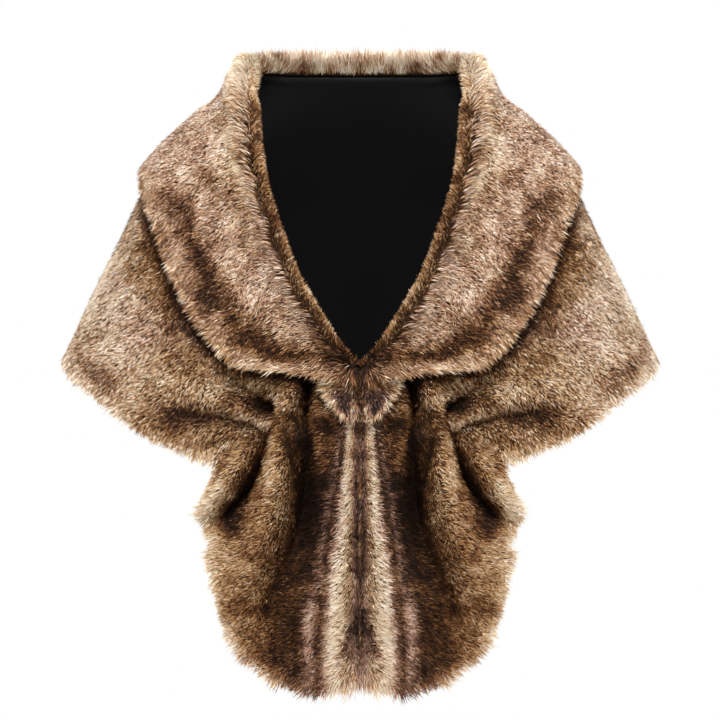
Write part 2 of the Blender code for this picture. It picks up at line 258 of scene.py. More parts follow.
def add_node(made, kind, **settings):
    """A new node, its settings, and its inputs linked where a setting is another node's output."""
    node = made.node_tree.nodes.new(kind)
    for name, value in settings.items():
        socket = node.inputs.get(name)
        if isinstance(value, bpy.types.NodeSocket):
            made.node_tree.links.new(value, socket)
        elif socket is not None:
            socket.default_value = value
        else:
            setattr(node, name, value)
    return node


# The knitted ground that the pile is set in, dyed dark like the foot of the hair.
fur_ground, shader = new_material("Knitted ground of the fur", "#3A2A1D", 0.95)
shader.inputs["Specular IOR Level"].default_value = 0.1

# Acrylic pile, each hair dark at its root, streaked brown and cream along the cloth.
pile_hair, shader = new_material("Acrylic pile", "#8A6A4C", 0.62)
shader.inputs["Specular IOR Level"].default_value = 0.06
# Colours of plain brown fur and of greyer, pinker fur, at these shades from dark to pale.
SHADES = (0.0, 0.2, 0.4, 0.6, 0.8, 1.0)
OLIVE = ("#0E0703", "#361F0D", "#764A24", "#B28B5C", "#D8C4A4", "#EEE4D1")
PINKISH = ("#100A08", "#3A2E2A", "#7A584B", "#BA927C", "#DDC9BA", "#F0E6DC")


def shade_ramp(codes, fac):
    node = add_node(pile_hair, "ShaderNodeValToRGB", Fac=fac)
    stops = node.color_ramp.elements
    while len(stops) < len(codes):
        stops.new(0.5)
    for stop, place, code in zip(stops, SHADES, codes):
        stop.position, stop.color = place, linear(code)
    return node.outputs["Color"]


shade = add_node(pile_hair, "ShaderNodeAttribute", attribute_name="shade").outputs["Fac"]
hue = add_node(pile_hair, "ShaderNodeAttribute", attribute_name="hue").outputs["Fac"]
# Inputs 0, 6 and 7 of the mix are its factor and two colours, and output 2 is the mixed colour.
mixed = add_node(pile_hair, "ShaderNodeMix", data_type="RGBA")
for socket, source in ((0, hue), (6, shade_ramp(OLIVE, shade)), (7, shade_ramp(PINKISH, shade))):
    pile_hair.node_tree.links.new(source, mixed.inputs[socket])
pile_hair.node_tree.links.new(mixed.outputs[2], shader.inputs["Base Color"])

# Black satin, woven of filament with a soft sheen.
satin, shader = new_material("Black satin", "#020203", 0.5)
shader.inputs["Specular IOR Level"].default_value = 0.11


def riding(name, mesh):
    """An object of that mesh, shown and riding on the part's one body."""
    piece = bpy.data.objects.new(name, mesh)
    bpy.context.scene.collection.objects.link(piece)
    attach(piece, "root")
    return piece


def cloth(name, outer, inner, materials):
    """A closed shell between two grids, with the first material outside and the last one within."""
    rows, columns = outer.shape[:2]
    at = np.arange(rows * columns).reshape(rows, columns)
    quads = np.stack([at[:-1, :-1], at[1:, :-1], at[1:, 1:], at[:-1, 1:]], -1).reshape(-1, 4)
    rim = np.concatenate([at[:, 0], at[-1, 1:], at[-2::-1, -1], at[0, -2:0:-1]])
    after = np.roll(rim, -1)
    edge = np.stack([after, rim, rim + at.size, after + at.size], -1)
    faces = np.concatenate([quads, quads[:, ::-1] + at.size, edge])
    points = np.concatenate([outer.reshape(-1, 3), inner.reshape(-1, 3)]) * MM
    mesh = bpy.data.meshes.new(name)
    mesh.from_pydata(points.tolist(), [], faces.tolist())
    for finish in materials:
        mesh.materials.append(finish)
    mesh.shade_smooth()
    slots = np.full(len(faces), len(materials) - 1)
    slots[: len(quads)] = 0
    mesh.polygons.foreach_set("material_index", slots.astype(np.int32))
    return riding(name, mesh)


def coarse(grids):
    """Every second point of each grid, enough for a ground under hair or a plain lining."""
    return [grid[::2, ::2] for grid in grids]


Roots = namedtuple("Roots", "place normal around down row column from_top from_bottom")
ROOT_DEPTH = 3.0  # where the hair is set, inside the solid's outer face
GROUND = 1.0  # thickness of the knitted ground
GROUND_FACES = ROOT_DEPTH, ROOT_DEPTH + GROUND
SIDES = (1, "left"), (-1, "right")  # the wearer's


def scatter(grid, count, random, thickness=None):
    """Places for hairs on a grid of points, spread evenly, or by a thickness for each of its points."""
    around = np.gradient(grid, axis=0)
    down = np.gradient(grid, axis=1)
    area = np.linalg.norm(np.cross(around, down), axis=-1)
    if thickness is not None:
        area = area * thickness
    cell = (area[:-1, :-1] + area[1:, :-1] + area[:-1, 1:] + area[1:, 1:]).ravel()
    picked = random.choice(cell.size, count, p=cell / cell.sum())
    i, j = np.divmod(picked, grid.shape[1] - 1)
    s, t = random.random((2, count))

    def between(values):
        a, b = values[i, j], values[i + 1, j]
        c, d = values[i, j + 1], values[i + 1, j + 1]
        u, v = s[:, None], t[:, None]
        return (a * (1 - u) + b * u) * (1 - v) + (c * (1 - u) + d * u) * v

    around, down = unit(between(around)), unit(between(down))
    normal = unit(np.cross(around, down))
    rows, columns = np.array(grid.shape[:2]) - 1
    run = np.linalg.norm(np.diff(grid, axis=1), axis=-1).cumsum(axis=1)
    run = np.concatenate([0 * run[:, :1], run], axis=1)[..., None]
    from_top, from_bottom = between(run)[:, 0], between(run[:, -1:] - run)[:, 0]
    place = between(grid)
    return Roots(place, normal, around, down, (i + s) / rows, (j + t) / columns, from_top, from_bottom)


LATTICE = 32  # cells, after which the cloudy values repeat
FAR_OFF = 1000  # cells, so that every place counts up from the lattice's corner


def cloudy(places, size, seed):
    """A soft random value from -0.5 to 0.5 at each place, with patches of about that size."""
    lattice = np.random.default_rng(seed).random((LATTICE,) * 3)
    at = places / size + FAR_OFF
    base = np.floor(at).astype(int)
    t = at - base
    t = t * t * (3 - 2 * t)
    total = 0
    for corner in np.ndindex(2, 2, 2):
        weight = np.prod(np.where(corner, t, 1 - t), axis=-1)
        x, y, z = ((base + corner) % LATTICE).T
        total = total + weight * lattice[x, y, z]
    return total - 0.5


HAIR_WIDTH = 0.95
LOCK_SIZE = 3.2  # across a lock of hairs
LOCKS = 99991  # different locks, shared out by a hash of their places
LOCK_HASH = 73856093, 19349663, 83492791
HUES = 8  # steps of hue, each a column of the pile's map


def pile(name, roots, lay, length, rise, tone, hue, random, side=1, width=HAIR_WIDTH, streak=1.0):
    """Hairs as bent slips, set at roots and combed along lay. Rise is how far they stand up, 0 to 1.

    Tone and hue are the dye of the cloth at each hair, and streak is how much single hairs differ from
    it. Hairs of one lock lean together, and their middles and tips are drawn towards its centre.
    """
    count = len(roots.place)
    lay = unit(lay - (lay * roots.normal).sum(-1, keepdims=True) * roots.normal)
    across = np.cross(roots.normal, lay)
    # The centres of the locks are a jittered cubic lattice.
    cell = np.floor(roots.place / LOCK_SIZE).astype(int)
    lock = (cell * LOCK_HASH).sum(-1) % LOCKS
    jitter = np.random.default_rng(7).random((LOCKS, 6))[lock]
    centre = (cell + 0.2 + 0.6 * jitter[:, :3]) * LOCK_SIZE
    pull = centre - roots.place
    pull -= (pull * roots.normal).sum(-1, keepdims=True) * roots.normal
    sway = 50 * cloudy(roots.place, 22, 4)
    turn = np.radians(random.normal(0, 11, count) + 22 * (jitter[:, 3] - 0.5) + sway)[:, None]
    lay = lay * np.cos(turn) + across * np.sin(turn)
    across = np.cross(roots.normal, lay)
    length = (length * random.uniform(0.65, 1.15, count) * (0.88 + 0.24 * jitter[:, 4]))[:, None]
    # A hair bends once, from its first slope to its second.
    first = np.radians(20 + 45 * rise + random.normal(0, 10, count))[:, None]
    second = -8 + 55 * rise + random.normal(0, 14, count) + 14 * (jitter[:, 5] - 0.5)
    second = np.radians(second)[:, None]
    middle = roots.place + 0.5 * length * (lay * np.cos(first) + roots.normal * np.sin(first)) + 0.2 * pull
    tip = middle + 0.5 * length * (lay * np.cos(second) + roots.normal * np.sin(second)) + 0.3 * pull
    roll = np.radians(random.normal(0, 26, count))[:, None]
    flat = (across * np.cos(roll) + roots.normal * np.sin(roll)) * width
    flat = flat * random.uniform(0.7, 1.25, (count, 1))
    points = np.stack([roots.place, middle - flat / 2, middle + flat / 2, tip], 1)
    # The shades of a hair's body, darker foot, and end, which changes most in a middling tone.
    single = random.normal(0, 0.15, count) + 0.14 * (jitter[:, 4] - 0.5)
    body = np.clip(tone + streak * single, 0.02, 0.97)
    foot = 0.02 + 0.3 * body + 0.7 * np.clip(tone - 0.5, 0, 0.4)
    change = random.choice((-0.34, -0.05, 0.26), count, p=(0.3, 0.3, 0.4))
    change = change * (0.5 + 2 * np.clip(tone * (1.1 - tone), 0, 1)) * np.clip(3.1 - 3.1 * tone, 0.3, 1)
    end = np.clip(body + streak * change, 0.02, 1)
    shade = np.stack([foot, body, body, end], 1).ravel()
    hue_step = np.clip(hue + random.normal(0, 0.18, count), 0, 0.999) * HUES // 1
    hue = np.repeat((hue_step + 0.5) / HUES, 4)
    corners = np.arange(count)[:, None] * 4 + (0, 1, 2, 1, 3, 2)
    if side < 0:
        points = points * (-1, 1, 1)
        corners = corners[:, ::-1]
    corners = corners.ravel()
    mesh = bpy.data.meshes.new(name)
    mesh.vertices.add(count * 4)
    mesh.vertices.foreach_set("co", (points * MM).astype(np.float32).ravel())
    mesh.loops.add(count * 6)
    mesh.loops.foreach_set("vertex_index", corners.astype(np.int32))
    mesh.polygons.add(count * 2)
    mesh.polygons.foreach_set("loop_start", np.arange(0, count * 6, 3, dtype=np.int32))
    mesh.update(calc_edges=True)
    mesh.shade_smooth()
    for label, values in (("shade", shade), ("hue", hue)):
        mesh.attributes.new(label, "FLOAT", "POINT").data.foreach_set("value", values.astype(np.float32))
    chart = np.stack([hue[corners], shade[corners]], -1)
    mesh.uv_layers.new(name="OFBake").uv.foreach_set("vector", chart.astype(np.float32).ravel())
    mesh.materials.append(pile_hair)
    piece = riding(name, mesh)
    return piece


def turned(lay, way, share):
    """The lay of the hair, turned towards another way by a share for each hair."""
    return lay * (1 - share)[:, None] + way * share[:, None]


Dab = namedtuple("Dab", "name across height long wide slant shade hue")


def dyed(places, dabs):
    """How much the dabs of dye change shade and hue. Slant turns a dab's long side up from level."""
    shade, hue = np.zeros(len(places)), np.zeros(len(places))
    for dab in dabs:
        x, z = np.abs(places[:, 0]) - dab.across, places[:, 2] - dab.height
        turn = np.radians(dab.slant)
        along_it, over_it = x * np.cos(turn) + z * np.sin(turn), z * np.cos(turn) - x * np.sin(turn)
        near = bump(along_it, dab.long, over_it, dab.wide)
        shade += dab.shade * near
        hue += dab.hue * near
    return shade, hue


FREE_TRIM = 4.5  # from a solid's free edge back to the ground's edge, which the hair hangs over
DRAWN_BACK = 7  # how much further the collar's edge draws back in front of the shoulder
COLLAR_ROWS, COLLAR_COLUMNS = 121, 61  # points round half the collar, and from its seam to its edge
stations = np.linspace(0, LAST_STATION, COLLAR_ROWS)
# Low on the chest the edge comes out again, by half as much as it draws back above.
drawn = bump(stations - 5.6, 0.7) - 0.5 * bump(stations - 9.6, 0.9)
half = []
for depth in GROUND_FACES:
    grid = collar_grid(stations, np.linspace(0, 1, COLLAR_COLUMNS), depth)
    full, short = (trimmed(grid, FREE_TRIM + more, "bottom") for more in (0, DRAWN_BACK))
    half.append(full + (short - full) * drawn[:, None, None])
collar_faces = coarse([np.concatenate([mirrored(grid)[:-1], grid]) for grid in half])
collar = cloth("collar_ground", *collar_faces, (fur_ground, satin))
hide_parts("collar")

COLLAR_HAIRS = 84000  # on each half
COLLAR_DABS = (
    Dab("shoulder", 240, -138, 22, 14, 60, 0.07, -0.2),
    Dab("brown by the roll", 168, -126, 16, 10, 50, -0.12, -0.2),
    Dab("tan middle", 132, -218, 44, 22, -55, -0.09, -0.15),
    Dab("pale beside the roll", 178, -166, 30, 11, -75, 0.12, 0),
    Dab("top of the brown band", 224, -180, 28, 11, -62, -0.16, -0.1),
    Dab("brown over the low roll", 105, -293, 18, 12, -50, -0.12, 0),
    Dab("pale by the parting's end", 45, -333, 14, 12, 0, 0.2, 0),
    Dab("brown streak", 190, -78, 30, 7, 20, -0.1, 0),
    Dab("dark in the parting", 125, -114, 24, 6, 62, -0.25, 0),
    Dab("dark by the end", 15, -358, 10, 4, 80, -0.2, 0),
)
for side, word in SIDES:
    random = np.random.default_rng(11 + side)
    # The pile is thickest along the free edge and the roll, and thin on the fall behind.
    thick = np.ones((COLLAR_ROWS, COLLAR_COLUMNS))
    thick[:, -8:] = 1.5
    thick[:, 4:11] = 1.4
    thick[:26, 16:] = 0.5
    roots = scatter(half[0], COLLAR_HAIRS, random, thick)
    station = roots.row * LAST_STATION
    at_front = rising(station, 2.6, 1.2)
    patch, mottle = cloudy(roots.place, 30, 1), cloudy(roots.place, 12, 2)

    # The pile parts along the roll, and the parting wanders and loosens up towards the shoulders.
    roll = np.interp(station, range(len(COLLAR)), [row.roll for row in COLLAR])
    parting = (STAND + 1.3 * roll) * at_front + 7 * mottle
    loose = np.interp(station, (3.5, 6), (7, 1.5))
    from_parting = roots.from_top - parting
    inward = (from_parting + loose * random.normal(0, 1, len(station)) < 0) & (station > 2.6)
    near = bump(from_parting, 17) * at_front
    closest = bump(from_parting, 5) * at_front

    # Where the pile lies, stands and hangs in other ways.
    on_strip = (1 - at_front) * bump(roots.from_top, 30)
    fluffy = bump(from_parting - 20, 16) * at_front * falling(station, 6, 1.5)
    slope = bump(station - 4, 0.9) * rising(roots.from_top, 30, 20)
    at_shoulder = bump(station - 2.5, 0.7) * (roots.from_top < 45)
    low_down = rising(station, 4.5, 1.6) * falling(station, 11.3, 1.3)
    fringe = bump(roots.from_bottom, 11)
    pale_end = rising(station, 8.8, 1.2) * bump(roots.from_bottom, 30)
    centre = bump(roots.place[:, 0], 10) * at_front
    lay = np.where(inward[:, None], -roots.down, roots.down)
    lay = lay - roots.around * (0.9 * near)[:, None] - (0, 0, 0.3) * ((1 - near) * at_front)[:, None]
    lay = turned(lay, (-0.6, 0, -0.8), centre)
    rise = 0.45 - 0.2 * slope + 0.15 * near + 0.25 * closest + 0.5 * on_strip - 0.25 * fringe + 0.25 * fluffy
    length = np.where(inward, 8.0, 9.0 + 6 * near)
    length = length + (3 + 3 * low_down) * fringe + 12 * on_strip + 3 * fluffy
    length = (length + 4 * pale_end - 2.5 * slope) * (1 - 0.45 * at_shoulder)

    # The dye: a brown band inside the edge, cream by the roll, and a pale nape, corner and end.
    band_place = np.interp(station, (5, 7, 8, 9, 10.5), (34, 35, 30, 35, 46))
    band = bump(roots.from_bottom - band_place - 12 * patch, 19) * low_down
    cream_roll = bump(from_parting - 18, 21) * rising(station, 1.9, 1) * falling(station, 7.6, 2)
    corner = bump(station - 3, 0.9, roots.from_top - 20, 45)
    nape = on_strip * bump(roots.place[:, 0], 30)
    flecks = random.random(len(station)) < 0.3
    flecks = flecks & (np.abs(from_parting) < 3 + 12 * mottle) & (station > 4.2)
    shade_change, hue_change = dyed(roots.place, COLLAR_DABS)
    tone = 0.64 + 0.24 * patch + 0.3 * mottle - 0.45 * band - 0.05 * fringe + 0.02 * cream_roll
    tone = tone + shade_change * at_front
    # The hair turned in on the roll's inner side is darker, partly its own brown and partly painted shade
    # from the opening.
    tone = tone - np.interp(station, (7.5, 9.5), (0.25, 0.06)) * inward - 0.4 * flecks
    tone = tone + (0.5 * mottle - 0.04) * on_strip - 0.12 * rising(station, 8, 2.5)
    tone = tone + 0.12 * pale_end + 0.26 * (corner + nape) - 0.42 * centre
    tone = tone - 0.1 * near * rising(station, 6, 1.5)
    hue = 0.62 - 0.4 * rising(station, 8, 2) - 0.6 * cream_roll
    hue = hue + 0.4 * cloudy(roots.place, 60, 3) - 0.5 * inward
    hue = hue + 0.12 * falling(station, 6, 2) - 0.5 * on_strip
    hue = hue - 0.4 * band - 0.3 * fringe + 0.2 * pale_end + hue_change
    name = f"collar_{word}_pile"
    pile(name, roots, lay, length, rise, tone, hue, random, side, streak=0.88)

# ---------------------------------------------------------------- back and fronts
# The cape itself, one back and two fronts of the same fur cloth, sewn to the collar's foot and to each
# other at the sides. Each front is gathered up tightly towards the fastening.

Fold = namedtuple("Fold", "name start middle end start_width end_width start_rise middle_rise end_rise")
# Places are (across, height) as seen from the front. A width is where a fold has fallen to a third.
FRONT_FOLDS = (
    Fold("main roll", (226, -364), (166, -384), (110, -405), 20, 13, 3, 10, 14),
    Fold("valley above the roll", (172, -356), (134, -371), (100, -392), 11, 8, -3, -9, -18),
    Fold("valley below the roll", (242, -398), (172, -399), (120, -415), 12, 8, -3, -12, -13),
    Fold("hem ridge", (198, -432), (160, -421), (124, -423), 13, 8, 2, 5, 7),
    Fold("puff over the gather", (77, -371), (79, -379), (82, -387), 13, 13, 15, 19, 15),
    Fold("hollow beside the puff", (55, -354), (57, -368), (62, -390), 8, 9, -11, -19, -16),
    Fold("pillar", (87, -402), (102, -520), (146, -654), 10, 26, 10, 20, 3),
    Fold("side valley", (105, -420), (122, -480), (162, -524), 8, 13, -12, -24, -12),
    Fold("outer lobe", (125, -430), (144, -468), (176, -509), 12, 14, 6, 13, 7),
    Fold("deep valley", (64, -400), (66, -512), (106, -640), 10, 22, -16, -28, -5),
    Fold("small lobe", (69, -402), (65, -427), (62, -456), 7, 7, 8, 12, 3),
    Fold("inner fold", (46, -398), (38, -446), (36, -514), 9, 10, 6, 8, 2),
    Fold("edge roll", (21, -406), (24, -554), (22, -710), 10, 12, 2, 12, 10),
    Fold("turned edge", (0, -376), (0, -544), (0, -696), 7, 8, -3, -8, -7),
)
BACK_FOLDS = (
    Fold("left drape", (-212, -262), (-226, -335), (-236, -402), 24, 20, 0, -5, -8),
    Fold("left swell", (-142, -238), (-152, -330), (-160, -424), 28, 24, 0, 5, 8),
    Fold("left trough", (-66, -280), (-76, -350), (-84, -440), 22, 20, 0, -4, -8),
    Fold("middle swell", (8, -236), (2, -340), (-6, -444), 30, 26, 0, 4, 7),
    Fold("right trough", (78, -262), (92, -350), (98, -440), 22, 22, 0, -5, -9),
    Fold("right swell", (160, -250), (170, -330), (182, -420), 26, 24, 0, 5, 8),
    Fold("right drape", (232, -280), (244, -340), (252, -392), 22, 20, 0, -4, -7),
)
FOLD_STEPS = 9


def relief(across, height, folds):
    """How far the folds lift the cloth at each place."""
    total = np.zeros(np.shape(across))
    for fold in folds:
        way = np.linspace(0, 2, FOLD_STEPS)
        line = along([fold.start, fold.middle, fold.end], way)
        width = np.linspace(fold.start_width, fold.end_width, FOLD_STEPS)
        rise = along([fold.start_rise, fold.middle_rise, fold.end_rise], way)
        nearest = np.full(np.shape(across), np.inf)
        value = np.zeros(np.shape(across))
        for k in range(FOLD_STEPS - 1):
            start, run = line[k], line[k + 1] - line[k]
            share = ((across - start[0]) * run[0] + (height - start[1]) * run[1]) / (run @ run)
            share = np.clip(share, 0, 1)
            gap = np.hypot(across - start[0] - share * run[0], height - start[1] - share * run[1])
            here = rise[k] + share * (rise[k + 1] - rise[k])
            wide = width[k] + share * (width[k + 1] - width[k])
            value = np.where(gap < nearest, here * bump(gap, wide), value)
            nearest = np.minimum(nearest, gap)
        total += value
    return total


Meridian = namedtuple("Meridian", "name seam_station front hem_across hem_height")
# Lines that run down the body, from the centre back round to the fastening. A front's last lines end
# on the gathered edge, where the tail is sewn on.
BODY = (
    Meridian("centre back", 0.0, False, 0, -440),
    Meridian("back", 0.55, False, 76, -437),
    Meridian("shoulder blade", 1.1, False, 152, -422),
    Meridian("behind the arm", 1.75, False, 233, -398),
    Meridian("back of the arm", 2.4, False, 308, -364),
    Meridian("side", 3.0, True, 351, -339),
    Meridian("front of the arm", 3.9, True, 325, -368),
    Meridian("before the arm", 4.8, True, 290, -396),
    Meridian("outer front", 5.7, True, 250, -424),
    Meridian("hem bend", 6.6, True, 208, -443),
    Meridian("hem corner", 7.5, True, 168, -455),
    Meridian("lower roll", 8.2, True, 148, -439),
    Meridian("lip", 8.8, True, 124, -425),
    Meridian("roll end", 9.3, True, 107, -416),
    Meridian("notch", 9.7, True, 98, -408),
    Meridian("pillar top", 10.1, True, 89, -400),
    Meridian("under the puff", 10.5, True, 79, -395),
    Meridian("puff side", 10.9, True, 68, -386),
    Meridian("hollow", 11.3, True, 56, -372),
    Meridian("under the collar", 11.7, True, 36, -362),
    Meridian("fastening", 12.0, True, 1.5, -360),
)
SIDE_SEAM = 5  # the meridian between back and front
HEM_CORNER = 10  # the meridian where the gathered edge begins
FASTENING = 20
HEMS = [(azimuth_of(row.hem_across, row.hem_height, row.front), row.hem_height) for row in BODY]


def body_places(at, share):
    """Azimuth and height on the body, at meridian at and a share of the way from seam to hem."""
    seam = seam_place(along([row.seam_station for row in BODY], at))
    hem = along(HEMS, at)
    share = np.asarray(share, float)[..., None]
    return np.moveaxis(seam * (1 - share) + hem * share, -1, 0)


def body_grid(meridians, shares, side, front_folds, depth):
    """Points of a body panel, depth inside its outer face, in one row for each meridian."""
    at, share = np.meshgrid(meridians, shares, indexing="ij")
    azimuth, height = body_places(at, share)
    across = bare_form(azimuth, height)[..., 0]
    at_front, behind = relief(across, height, front_folds), relief(side * across, height, BACK_FOLDS)
    return on_form(azimuth, height, np.where(azimuth > 90, at_front, behind) - depth)


GATHER_CROWDING = 1.35  # the rows of a gather stand closer towards the fastening


def gather_meridians(steps):
    way = np.linspace(0, 1, steps + 1)
    return HEM_CORNER + (FASTENING - HEM_CORNER) * (1 - (1 - way) ** GATHER_CROWDING)


BODY_COLUMNS = 61  # points from the seam down to the hem
BACK_ROWS = 61  # round half the back
PLAIN_ROWS, GATHERED_ROWS = 50, 70  # round a front, before its hem corner and beyond
EDGE_COLUMNS = 6  # along the hem, with thicker hair
shares = np.linspace(0, 1, BODY_COLUMNS)
back_lines = np.linspace(0, SIDE_SEAM, BACK_ROWS)
front_lines = np.linspace(SIDE_SEAM, HEM_CORNER, PLAIN_ROWS + 1)[:-1]
front_lines = np.concatenate([front_lines, gather_meridians(GATHERED_ROWS)])
backs, fronts = [], []
for depth in GROUND_FACES:
    left, right = (body_grid(back_lines, shares, side, FRONT_FOLDS, depth) for side in (1, -1))
    backs.append(trimmed(np.concatenate([mirrored(right)[:-1], left]), FREE_TRIM, "bottom"))
    front = body_grid(front_lines, shares, 1, FRONT_FOLDS, depth)
    plain = front[:PLAIN_ROWS]
    short = trimmed(front[: PLAIN_ROWS + 1], FREE_TRIM, "bottom")[:-1]
    # The trim runs out just before the hem corner, where the tail is sewn on.
    trim = np.clip(6 * np.linspace(1, 0, PLAIN_ROWS + 1)[:-1], 0, 1)
    fronts.append(np.concatenate([plain + (short - plain) * trim[:, None, None], front[PLAIN_ROWS:]]))

COLLAR_EDGE = along(COLLAR_PLACES, np.linspace(0, LAST_STATION, 200))[:, 2:4]
EDGE_LIFT = 5.0  # of the line that stands for the collar's edge below
HAIR_UNDER = 20  # how far the cape's full pile goes on under the collar


def past_collar(places):
    """How far each place is from the collar's free edge, less than 0 where the collar covers it."""
    half_width = bare_form(np.full(places.shape[:-1], 90.0), places[..., 2])[..., 0]
    folded = np.concatenate([np.abs(places[..., :1]), places[..., 1:]], -1)
    turn = np.arcsin(np.clip(folded[..., 0] / half_width / (1 + BULGE / 2), 0, 1))
    turn = np.degrees(np.where(places[..., 1] > 0, turn, np.pi - turn))
    covered = np.interp(turn, *COLLAR_EDGE.T) < places[..., 2]
    gap = np.full(places.shape[:-1], np.inf)
    for point in on_form(*COLLAR_EDGE.T, EDGE_LIFT):
        gap = np.minimum(gap, np.linalg.norm(folded - point, axis=-1))
    return np.where(covered, -gap, gap)


BACK_HAIRS = 68000
FRONT_HAIRS = 48000  # on each front
back = cloth("back_ground", *coarse(backs), (fur_ground, satin))
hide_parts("back")
random = np.random.default_rng(21)
thick = np.where(past_collar(backs[0]) > -HAIR_UNDER, 1.0, 0.02)
thick[:, -EDGE_COLUMNS:] *= 1.6
roots = scatter(backs[0], BACK_HAIRS, random, thick)
lay = roots.down + 0.15 * np.sign(roots.place[:, :1]) * roots.around
edge = bump(roots.from_bottom, 12)
tone = 0.5 + 0.28 * cloudy(roots.place, 34, 5) + 0.3 * cloudy(roots.place, 12, 6)
# Paler along the hem, and a painted shadow just under the collar's edge.
tone += 0.2 * edge - 0.3 * bump(np.clip(past_collar(roots.place), 0, None), 14)
hue = 0.35 + 0.6 * cloudy(roots.place, 60, 7)
length, rise = 10 + 4 * edge, 0.45 - 0.22 * edge
back_pile = pile("back_pile", roots, lay, length, rise, tone, hue, random, width=1.1)

FRONT_DABS = (
    Dab("pale middle of the cape", 285, -298, 56, 30, 50, 0.15, 0.2),
    Dab("pale shoulder of the cape", 262, -178, 42, 16, -63, 0.14, 0),
    Dab("pale side of the cape", 302, -240, 80, 18, -70, 0.16, 0.0),
    # Partly brown dye and partly painted shadow of the collar's edge.
    Dab("brown and painted shadow along the collar", 229, -254, 60, 20, 68, -0.19, -0.5),
    Dab("brown over the roll", 200, -345, 38, 15, 30, -0.14, -0.3),
    # Lightens the painted shadow under the collar's end.
    Dab("pale under the collar's end", 108, -361, 32, 8, 0, 0.16, 0),
    Dab("pale main roll", 178, -376, 38, 11, 10, 0.12, -0.1),
    Dab("brown above the hem", 302, -354, 36, 14, 40, -0.27, 0.05),
    Dab("pale hem corner", 330, -360, 20, 12, 30, 0.1, -0.1),
    # Painted shade in the valleys under and above the roll, and under the puff.
    Dab("valley under the roll", 200, -403, 42, 16, 8, -0.45, 0),
    Dab("valley above the roll", 115, -393, 24, 9, 22, -0.48, 0),
    Dab("dark under the puff", 103, -393, 14, 9, 35, -0.5, 0),
    Dab("pale below the roll's end", 258, -386, 26, 11, 12, 0.14, 0),
    Dab("brown lip", 150, -431, 36, 9, -8, -0.17, -0.3),
    Dab("brown ridge of the hem", 230, -420, 34, 12, 10, -0.3, -0.2),
    # Painted shade in the crease of the hem ridge.
    Dab("crease in the ridge", 167, -428, 16, 4, -37, -0.2, 0),
    # Painted shade in the hole beside the puff, and painted shadow beside the tab.
    Dab("hole beside the puff", 57, -370, 12, 16, 0, -0.55, 0),
    Dab("dark beside the tab", 36, -412, 8, 8, 0, -0.42, -0.1),
)


def in_valleys(places):
    """How deep in a valley each place is, 0 to 1, which sets the painted shade in the folds."""
    deepest = 24
    return np.clip(-relief(places[:, 0], places[:, 2], FRONT_FOLDS) / deepest, 0, 1)


for side, word in SIDES:
    grids = fronts if side > 0 else [mirrored(grid) for grid in fronts]
    front = cloth(f"front_{word}_ground", *coarse(grids), (fur_ground, satin))
    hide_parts(f"front_{word}")
    random = np.random.default_rng(31 + side)
    thick = np.where(past_collar(fronts[0]) > -HAIR_UNDER, 1.0, 0.02)
    thick[:PLAIN_ROWS, -EDGE_COLUMNS:] *= 1.6
    roots = scatter(fronts[0], FRONT_HAIRS, random, thick)
    lay = roots.down + (0.35, 0, 0)
    edge = bump(roots.from_bottom, 12) * (roots.row < 0.42)  # up to the hem corner
    under = np.clip(past_collar(roots.place) - 3, 0, None)
    tone = 0.61 + 0.2 * cloudy(roots.place, 34, 8) + 0.22 * cloudy(roots.place, 12, 9)
    # Paler along the hem, and a painted shadow of the collar's edge on the cape: dark close under it, faint
    # further down.
    tone += 0.12 * edge - 0.5 * bump(under, 11) - 0.15 * bump(under, 45)
    # Painted shade in the valleys of the folds.
    tone -= 0.34 * in_valleys(roots.place)
    hue = 0.3 + 0.6 * cloudy(roots.place, 60, 10)
    shade_change, hue_change = dyed(roots.place, FRONT_DABS)
    tone, hue = tone + shade_change, hue + hue_change
    length, rise = 8.5 + 5 * edge, 0.5 - 0.27 * edge
    name = f"front_{word}_pile"
    front_pile = pile(name, roots, lay, length, rise, tone, hue, random, side, width=0.9)

# ---------------------------------------------------------------- tails
# Two fur panels sewn to the gathered edges. They fan out in deep folds and hang side by side to a
# rounded free edge, faced with satin behind.

TAIL_HEM = (
    # The tail's free edge, as (across, height), from the centre front round to the hem corner.
    (1.5, -701),
    (22, -718),
    (50, -724),
    (85, -716),
    (111, -702),
    (130, -686),
    (146, -665),
    (159, -640),
    (167, -614),
    (172, -591),
    (177, -569),
    (170, -553),
    (180, -536),
    (186, -516),
    (181, -495),
    (168, -479),
    (165, -468),
)
Rib = namedtuple("Rib", "name middle_across middle_height hem_row")
# A rib for each meridian of the gathered edge, fanning out to a row of the free edge.
RIBS = (
    Rib("hem corner", 167, -461.5, 16),
    Rib("lower roll", 161, -462, 14.85),
    Rib("lip", 148, -470, 13.4),
    Rib("roll end", 129, -484, 11.8),
    Rib("notch", 116, -502, 9.7),
    Rib("pillar top", 104, -520, 7.6),
    Rib("under the puff", 88, -532, 5.8),
    Rib("puff side", 70, -540, 4.4),
    Rib("hollow", 54, -544, 3.1),
    Rib("under the collar", 36, -546, 2),
    Rib("fastening", 1.5, -534, 0),
)


def tail_grid(meridians, shares, depth):
    """Points of the tail, depth inside its outer face, one row for each rib down to the free edge."""
    at, share = np.meshgrid(meridians, shares, indexing="ij")
    azimuth, height = body_places(at, np.ones_like(at))
    top = np.stack([bare_form(azimuth, height)[..., 0], height], -1)
    middle = along([row[1:3] for row in RIBS], at - HEM_CORNER)
    end = along(TAIL_HEM, along([row.hem_row for row in RIBS], at - HEM_CORNER))
    t = share[..., None]
    place = top * (1 - t) * (1 - 2 * t) + middle * 4 * t * (1 - t) + end * t * (2 * t - 1)
    across, height = np.moveaxis(place, -1, 0)
    return on_form(azimuth_of(across, height), height, relief(across, height, FRONT_FOLDS) - depth)


Stripe = namedtuple("Stripe", "name across shade hue")
